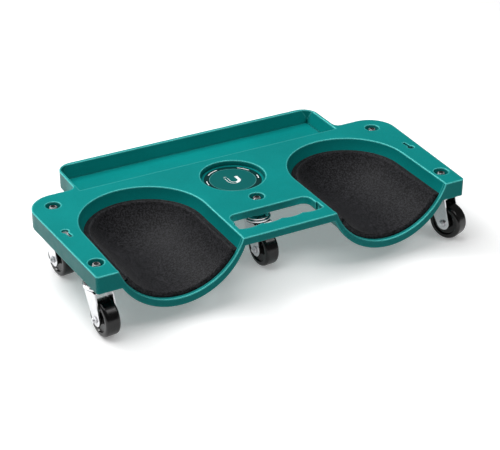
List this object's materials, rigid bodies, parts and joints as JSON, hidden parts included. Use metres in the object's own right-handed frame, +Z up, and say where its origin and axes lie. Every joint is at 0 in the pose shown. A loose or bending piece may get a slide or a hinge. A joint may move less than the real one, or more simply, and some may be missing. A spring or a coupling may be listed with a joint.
{
  "type": "mechanics kneeling creeper",
  "caption": "Low kneeling creeper: a moulded deck on swivel casters with padded knee cups, a handle slot, a magnetic dish and a rear tool tray.",
  "frame": {"origin": "on the floor under the middle of the overall box", "axes": "+X towards the creeper's right with the tool tray away from the viewer, +Y towards the tool tray, +Z up"},
  "size_m": [0.7174, 0.3968, 0.121],
  "materials": {
    "deck_plastic": "teal moulded plastic with a fine satin grain",
    "foam": "matt black closed-cell foam with a fine grain",
    "ferrite": "dark grey sintered magnet",
    "zinc_hardware": "bright zinc plating",
    "zinc_fork": "bright plated pressed steel",
    "bearing_steel": "polished bearing steel",
    "wheel_plastic": "glossy black moulded plastic",
    "label": "printed plastic label, dark teal with white marks"
  },
  "bodies": {
    "deck_assembly": {"deck": "deck_plastic", "knee_pad_left": "foam", "knee_pad_right": "foam", "magnet": "ferrite", "magnet_cover": "deck_plastic", "cover_screws": "zinc_hardware", "dish_label": "label", "caster_stems": "zinc_hardware", "stem_nuts": "zinc_hardware", "stem_washers": "zinc_hardware", "upper_races": "zinc_fork"},
    "swivel_front_left": {"fork_fl": "zinc_fork", "balls_fl": "bearing_steel", "axle_bolt_fl": "zinc_hardware", "axle_nut_fl": "zinc_hardware"},
    "wheel_front_left": {"wheel_fl": "wheel_plastic", "bushing_fl": "bearing_steel"},
    "swivel_rear_left": {"fork_rl": "zinc_fork", "balls_rl": "bearing_steel", "axle_bolt_rl": "zinc_hardware", "axle_nut_rl": "zinc_hardware"},
    "wheel_rear_left": {"wheel_rl": "wheel_plastic", "bushing_rl": "bearing_steel"},
    "swivel_centre": {"fork_c": "zinc_fork", "balls_c": "bearing_steel", "axle_bolt_c": "zinc_hardware", "axle_nut_c": "zinc_hardware"},
    "wheel_centre": {"wheel_c": "wheel_plastic", "bushing_c": "bearing_steel"},
    "swivel_front_right": {"fork_fr": "zinc_fork", "balls_fr": "bearing_steel", "axle_bolt_fr": "zinc_hardware", "axle_nut_fr": "zinc_hardware"},
    "wheel_front_right": {"wheel_fr": "wheel_plastic", "bushing_fr": "bearing_steel"},
    "swivel_rear_right": {"fork_rr": "zinc_fork", "balls_rr": "bearing_steel", "axle_bolt_rr": "zinc_hardware", "axle_nut_rr": "zinc_hardware"},
    "wheel_rear_right": {"wheel_rr": "wheel_plastic", "bushing_rr": "bearing_steel"}
  },
  "joints": [
    {"name": "front_left_swivel", "type": "hinge", "parent": "deck_assembly", "child": "swivel_front_left", "pos_m": [-0.3298, -0.1442, 0.08], "axis": [0, 0, 1], "continuous": true},
    {"name": "front_left_spin", "type": "hinge", "parent": "swivel_front_left", "child": "wheel_front_left", "pos_m": [-0.32827, -0.16615, 0.03175], "axis": [0.9976, 0.0698, 0], "continuous": true},
    {"name": "rear_left_swivel", "type": "hinge", "parent": "deck_assembly", "child": "swivel_rear_left", "pos_m": [-0.3187, 0.0635, 0.08], "axis": [0, 0, 1], "continuous": true},
    {"name": "rear_left_spin", "type": "hinge", "parent": "swivel_rear_left", "child": "wheel_rear_left", "pos_m": [-0.3164, 0.04162, 0.03175], "axis": [0.9945, 0.1045, 0], "continuous": true},
    {"name": "centre_swivel", "type": "hinge", "parent": "deck_assembly", "child": "swivel_centre", "pos_m": [0, -0.0706, 0.08], "axis": [0, 0, 1], "continuous": true},
    {"name": "centre_spin", "type": "hinge", "parent": "swivel_centre", "child": "wheel_centre", "pos_m": [0.00153, -0.09255, 0.03175], "axis": [0.9976, 0.0698, 0], "continuous": true},
    {"name": "front_right_swivel", "type": "hinge", "parent": "deck_assembly", "child": "swivel_front_right", "pos_m": [0.3298, -0.1442, 0.08], "axis": [0, 0, 1], "continuous": true},
    {"name": "front_right_spin", "type": "hinge", "parent": "swivel_front_right", "child": "wheel_front_right", "pos_m": [0.33732, -0.16487, 0.03175], "axis": [0.9397, 0.342, 0], "continuous": true},
    {"name": "rear_right_swivel", "type": "hinge", "parent": "deck_assembly", "child": "swivel_rear_right", "pos_m": [0.3187, 0.0635, 0.08], "axis": [0, 0, 1], "continuous": true},
    {"name": "rear_right_spin", "type": "hinge", "parent": "swivel_rear_right", "child": "wheel_rear_right", "pos_m": [0.31564, 0.04171, 0.03175], "axis": [0.9903, -0.1392, 0], "continuous": true}
  ]
}
